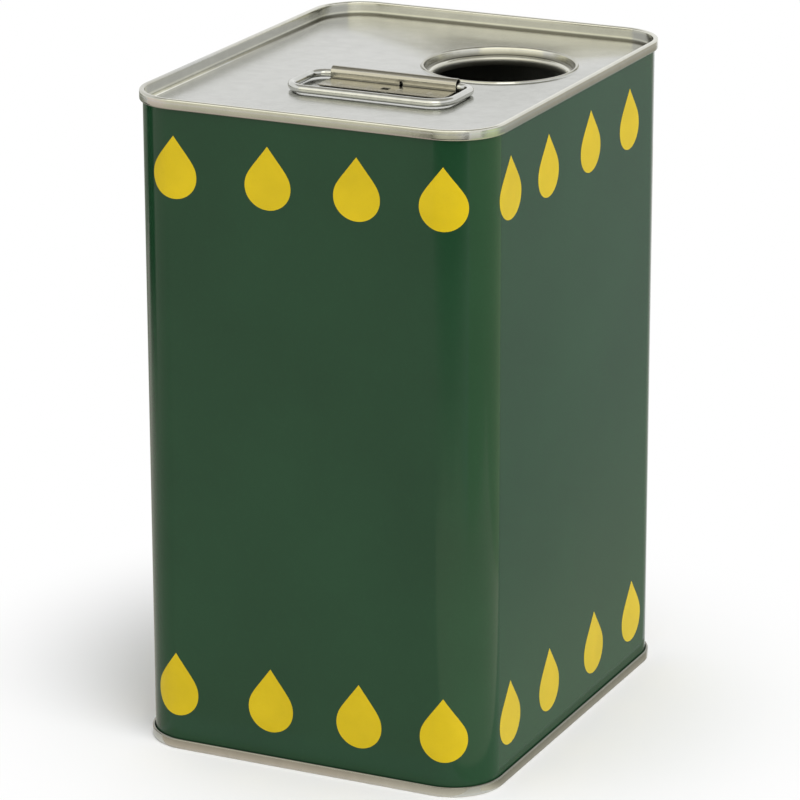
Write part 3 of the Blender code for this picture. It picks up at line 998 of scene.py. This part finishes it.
def add_drop(bm, along, foot, height, sizes):
    """Print one drop: cut its outline into strips, wrap them round the wall and raise them."""
    flat = bmesh.new()
    outline = drop_outline(sizes.drop_width, height)
    flat.faces.new([flat.verts.new((point.x, 0.0, point.y)) for point in outline])
    strips = int(sizes.drop_width / STRIP_WIDTH)
    for step in range(1, strips):
        cut = -sizes.drop_width / 2 + sizes.drop_width * step / strips
        bmesh.ops.bisect_plane(flat, geom=flat.verts[:] + flat.edges[:] + flat.faces[:],
                               dist=INK_MERGE, plane_co=(cut, 0.0, 0.0), plane_no=(1.0, 0.0, 0.0))
    for vert in flat.verts:
        place, out = wall_point(along + vert.co.x, INK_SEAT)
        vert.co = (place.x, place.y, foot + vert.co.z)
    bmesh.ops.recalc_face_normals(flat, faces=flat.faces[:])
    first = flat.faces[:][0]
    if first.normal.xy.dot(wall_point(along, 0.0)[1]) < 0.0:
        bmesh.ops.reverse_faces(flat, faces=flat.faces[:])
    made = bmesh.ops.extrude_face_region(flat, geom=flat.faces[:])["geom"]
    for vert in made:
        if isinstance(vert, bmesh.types.BMVert):
            vert.co.xy += way_out(vert.co)[1] * sizes.ink_height
    carrier = bpy.data.meshes.new("drop")
    flat.to_mesh(carrier)
    flat.free()
    bm.from_mesh(carrier)
    bpy.data.meshes.remove(carrier)


class TIN_OT_print(Operator):
    """Print the two rows of drops round the body"""

    bl_idname = "tin.print"
    bl_label = "Printed drops"

    def execute(self, context):
        sizes = context.scene.tin_print
        bm = bmesh.new()
        rows = ((sizes.top_row_foot, sizes.top_row_height, TOP_DROPS),
                (sizes.bottom_row_foot, sizes.bottom_row_height, BOTTOM_DROPS))
        for foot, height, shown in rows:
            hidden_run = GIRTH + shown[0] - shown[-1]
            pitch = hidden_run / (HIDDEN_DROPS + 1)
            places = list(shown)
            places += [shown[-1] + pitch * (step + 1) for step in range(HIDDEN_DROPS)]
            for along in places:
                add_drop(bm, along, foot, height, sizes)
        drops = finish_mesh(bm, "printed_drops", FINE_CREASE_DEG)
        dress(drops, (printed_yellow,), CAN, "green_litho")
        return {"FINISHED"}


def bracket_section():
    """Section of the bracket as (y, z, painted shade), from its back flange over the barrel; below
    0 the painted shade is a painted highlight.
    """
    half_wall = BRACKET_SHEET / 2
    barrel_radius = BARREL_REACH - half_wall
    flange_z = BRACKET_LOW.z + half_wall
    barrel_z = BRACKET_HIGH.z - half_wall - barrel_radius
    back_leg = arc(barrel_radius + LEG_BEND, flange_z + LEG_BEND, LEG_BEND, 270, 180, LEG_STEPS)
    front_leg = [(-y, z) for y, z in reversed(back_leg)]
    barrel = arc(0.0, barrel_z, barrel_radius, 0, 180, BARREL_STEPS)
    points = [(BARREL_REACH + BACK_FLANGE * share, flange_z, 0.0) for share in (1.0, 0.5)]
    points += [(*point, BEND_SHADE) for point in back_leg]
    for step, point in enumerate(barrel):
        from_line = abs(step / BARREL_STEPS - BARREL_DARK_LINE) / BARREL_DARK_SPREAD
        points.append((*point, BARREL_DARK_DEPTH * max(0.0, 1.0 - from_line)))
    points += [(-barrel_radius, flange_z + LEG_BEND * share, depth)
               for share, depth in LEG_SHADING]
    points += [(*point, BEND_SHADE) for point in front_leg]
    points += [(-BARREL_REACH - FRONT_FLANGE * share, flange_z, depth)
               for share, depth in FLANGE_SHADE]
    return [(AXIS_Y + y, z, depth) for y, z, depth in points]


def cut_slot(piece, name, size, middle):
    """Pierce a piece with a slot of a size at a place."""
    bm = bmesh.new()
    bmesh.ops.create_cube(bm, size=1.0)
    bmesh.ops.scale(bm, vec=size, verts=bm.verts[:])
    bmesh.ops.translate(bm, vec=middle, verts=bm.verts[:])
    cutter = finish_mesh(bm, name + "_cutter")
    slot = piece.modifiers.new(name, "BOOLEAN")
    slot.operation = "DIFFERENCE"
    slot.solver = "EXACT"
    slot.object = cutter
    apply_modifiers(piece)
    bpy.data.objects.remove(cutter, do_unlink=True)


def apply_modifiers(piece):
    """Bake a piece's modifiers into its own mesh."""
    shape = piece.evaluated_get(bpy.context.evaluated_depsgraph_get())
    baked = bpy.data.meshes.new_from_object(shape)
    piece.modifiers.clear()
    piece.data = baked


class TIN_OT_bracket(Operator):
    """Fold the bracket over the wire, staked in the middle and spot welded"""

    bl_idname = "tin.bracket"
    bl_label = "Handle bracket"

    def execute(self, context):
        sizes = context.scene.tin_handle
        bm = bmesh.new()
        # Each vertex carries the painted shade of the bracket's creases, and a painted highlight
        # where it is below 0.
        crease = bm.verts.layers.float.new("crease")
        left = HANDLE_X - BRACKET_LENGTH / 2
        verts = []
        for y, z, depth in bracket_section():
            verts.append(bm.verts.new((left, y, z)))
            verts[-1][crease] = depth
        ring = [bm.edges.new(pair) for pair in zip(verts, verts[1:])]
        for step in range(BRACKET_STEPS):
            moved, ring = extrude_edges(bm, ring)
            bmesh.ops.translate(bm, vec=(BRACKET_LENGTH / BRACKET_STEPS, 0.0, 0.0), verts=moved)
        bracket = finish_mesh(bm, "bracket")
        thicken(bracket, BRACKET_SHEET)
        through = BRACKET_SHEET + CUT_OVERRUN * 2
        flange_z = BRACKET_LOW.z + BRACKET_SHEET / 2
        stake_low = flange_z - through / 2
        stake_high = BRACKET_LOW.z + BRACKET_SHEET + STAKE_SLOT_HEIGHT
        cut_slot(bracket, "stake_slot", (STAKE_SLOT_LENGTH, through, stake_high - stake_low),
                 (HANDLE_X + STAKE_SLOT_OFFSET, AXIS_Y - BARREL_REACH + BRACKET_SHEET / 2,
                  (stake_high + stake_low) / 2))
        cut_slot(bracket, "flange_slot", (FLANGE_SLOT_LENGTH, FLANGE_SLOT_WIDTH, through),
                 (HANDLE_X + FLANGE_SLOT_OFFSET, AXIS_Y - FLANGE_SLOT_REACH, flange_z))
        bracket.data.set_sharp_from_angle(angle=math.radians(CUT_CREASE_DEG))
        edge = bracket.modifiers.new("edge", "BEVEL")
        edge.width = BRACKET_SHEET * ROUND_SHARE
        edge.segments = 2
        edge.limit_method = "ANGLE"
        edge.angle_limit = math.radians(ROUND_FROM_DEG)
        dress(bracket, (folded_plate,), CAN, "bracket_plate", "handle_bracket")

        bm = bmesh.new()
        flange_top = BRACKET_LOW.z + BRACKET_SHEET
        rows = (AXIS_Y - BARREL_REACH - FRONT_FLANGE * FRONT_SPOT_SHARE,
                AXIS_Y + BARREL_REACH + BACK_FLANGE * BACK_SPOT_SHARE)
        for y in rows:
            for step in range(sizes.weld_spots):
                share = (step + 0.5) / sizes.weld_spots * (1 - 2 * SPOT_MARGIN_SHARE)
                x = left + BRACKET_LENGTH * (SPOT_MARGIN_SHARE + share)
                add_weld_spot(bm, x, y, flange_top)
        spots = finish_mesh(bm, "weld_spots")
        dress(spots, (folded_plate,), CAN, "bracket_plate")
        return {"FINISHED"}


def add_weld_spot(bm, x, y, top):
    """Add the shallow ringed dimple that a welding electrode leaves."""
    ring = add_ring(bm, SPOT_STEPS, SPOT_RADIUS, Matrix.Translation((x, y, top)))[1]
    for radius_share, lift in SPOT_SHARES:
        ring = widen_ring(bm, ring, Vector((x, y)), SPOT_RADIUS * radius_share,
                          top + SPOT_RADIUS * lift)[1]
    bmesh.ops.contextual_create(bm, geom=ring)
    low = [edge for edge in bm.edges if edge.is_boundary]
    bmesh.ops.contextual_create(bm, geom=low)


def add_bend(bm, ring, place, heading, radius, degrees):
    """Carry a ring of the wire round a bend in the handle's plane."""
    side = Vector((-heading.y, heading.x, 0.0)) * math.copysign(1.0, degrees)
    pivot = place + side * radius
    steps = max(LEAST_BEND_STEPS, int(abs(degrees) / BEND_STEP_DEG))
    made = bmesh.ops.spin(bm, geom=ring, cent=pivot, axis=(0.0, 0.0, 1.0),
                          angle=math.radians(degrees), steps=steps, use_merge=False,
                          use_duplicate=False)["geom_last"]
    turn = Matrix.Rotation(math.radians(degrees), 3, "Z")
    ring = [item for item in made if isinstance(item, bmesh.types.BMEdge)]
    return ring, pivot + turn @ (place - pivot), turn @ heading


class TIN_OT_handle(Operator):
    """Bend the wire handle that lies folded on the top"""

    bl_idname = "tin.handle"
    bl_label = "Wire handle"

    def execute(self, context):
        sizes = context.scene.tin_handle
        bend_start = BRACKET_LENGTH / 2 + RUNNING_GAP * 2
        arm_x = bend_start + sizes.bend_radius
        reach = AXIS_Y - BAIL_LOW.y - WIRE_RADIUS
        place = Vector((HANDLE_X + sizes.end_gap / 2, AXIS_Y, AXIS_Z))
        heading = Vector((1.0, 0.0, 0.0))
        bm = bmesh.new()
        turned = Matrix.Rotation(math.radians(90), 4, "Y")
        start = add_ring(bm, WIRE_SIDES, WIRE_RADIUS * WIRE_END_SHARE,
                         Matrix.Translation(place) @ turned)[1]
        bmesh.ops.contextual_create(bm, geom=start)
        verts, ring = extrude_edges(bm, start)
        tip = WIRE_RADIUS * WIRE_TIP_SHARE
        for vert in verts:
            out = vert.co - place
            vert.co = place + out.normalized() * WIRE_RADIUS + heading * tip
        place = place + heading * tip
        end_run = bend_start - sizes.end_gap / 2 - tip
        arm_run = reach - sizes.bend_radius - sizes.corner_radius
        grip_run = 2 * (arm_x - sizes.corner_radius)
        for length, radius in ((end_run, sizes.bend_radius), (arm_run, sizes.corner_radius),
                               (grip_run, sizes.corner_radius), (arm_run, sizes.bend_radius),
                               (end_run, 0.0)):
            verts, ring = extrude_edges(bm, ring)
            bmesh.ops.translate(bm, vec=heading * length, verts=verts)
            place = place + heading * length
            if radius:
                ring, place, heading = add_bend(bm, ring, place, heading, radius, -90)
        verts, ring = extrude_edges(bm, ring)
        for vert in verts:
            vert.co = place + (vert.co - place) * WIRE_END_SHARE + heading * tip
        bmesh.ops.contextual_create(bm, geom=ring)
        wire = finish_mesh(bm, "wire_handle", FINE_CREASE_DEG)
        dress(wire, (drawn_wire,), HANDLE, "bright_wire", "handle_bail")
        return {"FINISHED"}


class TIN_OT_compound(Operator):
    """Finish the two bands of sealing compound inside the seams"""

    bl_idname = "tin.compound"
    bl_label = "Seam compound"

    def execute(self, context):
        for name in ("top_seam_compound", "bottom_seam_compound"):
            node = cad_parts[name]
            node.data.materials.clear()
            node.data.materials.append(finished(sealing_compound))
        return {"FINISHED"}


def floor_paint(bench):
    """Matt pale floor near the can, that turns into the plain white ground further out."""
    colour = bench.mix(bench.noise(3.0), shade(FLOOR_COLOUR, 0.997), shade(FLOOR_COLOUR, 1.003))
    bench.feed("Base Color", colour)
    bench.plain(Roughness=0.9, Specular_IOR_Level=0.0)
    away = bench.add("ShaderNodeVectorMath", operation="LENGTH")
    bench.link(bench.coords, away.inputs[0])
    fade = bench.spread(away.outputs["Value"], 0.0, 1.0, SHADOW_REACH, WHITE_REACH, "SMOOTHSTEP")
    glow = bench.add("ShaderNodeEmission")
    blend = bench.add("ShaderNodeMixShader")
    bench.link(bench.math("MULTIPLY", bench.seen(), fade), blend.inputs["Fac"])
    bench.link(bench.shader.outputs["BSDF"], blend.inputs[1])
    bench.link(glow.outputs["Emission"], blend.inputs[2])
    bench.surface(blend.outputs["Shader"])


def card_paint(bench, foot, head):
    """Glow of a card that fades from the colour of its foot to that of its head."""
    fade = bench.spread(bench.attribute("head"), 0.0, 1.0, 0.0, CARD_FADE, "SMOOTHSTEP")
    glow = bench.add("ShaderNodeEmission")
    bench.link(bench.mix(fade, shade(foot, 1.0), shade(head, 1.0)), glow.inputs["Color"])
    bench.surface(glow.outputs["Emission"])


def add_card(name, middle, turn_x, turn_z, width, height, foot, head=None):
    """Stand or lay a card that only reflections see."""
    bm = bmesh.new()
    layer = bm.verts.layers.float.new("head")
    bmesh.ops.create_grid(bm, x_segments=1, y_segments=1, size=0.5)
    for vert in bm.verts:
        vert[layer] = vert.co.y + 0.5
    bmesh.ops.scale(bm, vec=(width, height, 1.0), verts=bm.verts[:])
    turn = Matrix.Rotation(math.radians(turn_z), 4, "Z") @ Matrix.Rotation(
        math.radians(turn_x), 4, "X")
    bmesh.ops.transform(bm, matrix=Matrix.Translation(middle) @ turn, verts=bm.verts[:])
    card = finish_mesh(bm, name, outward=False)
    card.data.materials.append(new_material(name, card_paint, foot, head or foot))
    card.visible_camera = False
    card.visible_diffuse = False
    card.visible_transmission = False
    card.visible_shadow = False


def add_sun(name, azimuth, elevation, spread, strength):
    """Add a soft distant light that reflections don't see."""
    data = bpy.data.lights.new(name, "SUN")
    data.angle = math.radians(spread)
    data.energy = strength
    lamp = bpy.data.objects.new(name, data)
    side = math.radians(azimuth)
    lift = math.radians(elevation)
    toward = Vector((math.sin(side) * math.cos(lift), -math.cos(side) * math.cos(lift),
                     math.sin(lift)))
    lamp.location = toward * SUN_DISTANCE
    lamp.rotation_euler = (-toward).to_track_quat("-Z", "Y").to_euler()
    lamp.visible_glossy = False
    bpy.context.scene.collection.objects.link(lamp)


class TIN_OT_stage(Operator):
    """Set the camera, the lamps, the pale floor and the cards that reflections see"""

    bl_idname = "tin.stage"
    bl_label = "Studio"

    def execute(self, context):
        scene = context.scene
        scene.view_settings.view_transform = "Standard"
        data = bpy.data.cameras.new("camera")
        data.lens = CAMERA_LENS
        data.clip_end = CAMERA_SIGHT
        camera = bpy.data.objects.new("camera", data)
        camera.location = CAMERA_PLACE
        turn = (Matrix.Rotation(math.radians(CAMERA_YAW), 3, "Z")
                @ Matrix.Rotation(math.radians(90.0 - CAMERA_PITCH), 3, "X")
                @ Matrix.Rotation(math.radians(CAMERA_ROLL), 3, "Z"))
        camera.rotation_euler = turn.to_euler()
        scene.collection.objects.link(camera)
        scene.camera = camera

        bm = bmesh.new()
        bmesh.ops.create_circle(bm, cap_ends=True, segments=FLOOR_SIDES, radius=FLOOR_RADIUS)
        floor = finish_mesh(bm, "floor", outward=False)
        floor.data.materials.append(finished(floor_paint))

        world = bpy.data.worlds.new("studio")
        scene.world = world
        world.use_nodes = True
        bench = NodeBench(world.node_tree)
        background = bench.tree.nodes["Background"]
        background.inputs["Color"].default_value = (1.0, 1.0, 1.0, 1.0)
        bench.link(bench.spread(bench.seen(), AMBIENT_LEVEL, 1.0), background.inputs["Strength"])

        for sun in SUNS:
            add_sun(*sun)
        for card in CARDS:
            add_card(*card)
        return {"FINISHED"}


class TIN_PT_sidebar(Panel):
    """Lists the can's pieces in the sidebar"""

    bl_idname = "TIN_PT_sidebar"
    bl_label = "Tin Can"
    bl_space_type = "VIEW_3D"
    bl_region_type = "UI"
    bl_category = "Tin Can"

    def draw(self, context):
        layout = self.layout
        scene = context.scene
        for heading, sizes in (("Print", scene.tin_print), ("Mouth", scene.tin_mouth),
                               ("Handle", scene.tin_handle), ("Finishes", scene.tin_finishes)):
            box = layout.box()
            box.label(text=heading)
            for name in sizes.bl_rna.properties.keys():
                if name not in ("rna_type", "name"):
                    box.prop(sizes, name)
        for operator in OPERATORS:
            layout.operator(operator.bl_idname)


OPERATORS = (TIN_OT_body, TIN_OT_weld, TIN_OT_print, TIN_OT_ends, TIN_OT_compound,
             TIN_OT_bracket, TIN_OT_handle, TIN_OT_stage)
GROUPS = (("tin_print", PrintSizes), ("tin_mouth", MouthSizes), ("tin_handle", HandleSizes),
          ("tin_finishes", Finishes))


def register():
    """Make the groups, operators and panel known to Blender."""
    for name, group in GROUPS:
        bpy.utils.register_class(group)
        setattr(bpy.types.Scene, name, PointerProperty(type=group))
    for operator in OPERATORS:
        bpy.utils.register_class(operator)
    bpy.utils.register_class(TIN_PT_sidebar)


def unregister():
    """Take the panel, operators and groups out again."""
    bpy.utils.unregister_class(TIN_PT_sidebar)
    for operator in reversed(OPERATORS):
        bpy.utils.unregister_class(operator)
    for name, group in reversed(GROUPS):
        delattr(bpy.types.Scene, name)
        bpy.utils.unregister_class(group)


def main():
    """Register the add-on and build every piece."""
    register()
    bpy.ops.tin.body()
    bpy.ops.tin.weld()
    bpy.ops.tin.print()
    bpy.ops.tin.ends()
    bpy.ops.tin.compound()
    bpy.ops.tin.bracket()
    bpy.ops.tin.handle()
    bpy.ops.tin.stage()


if __name__ == "__main__":
    main()
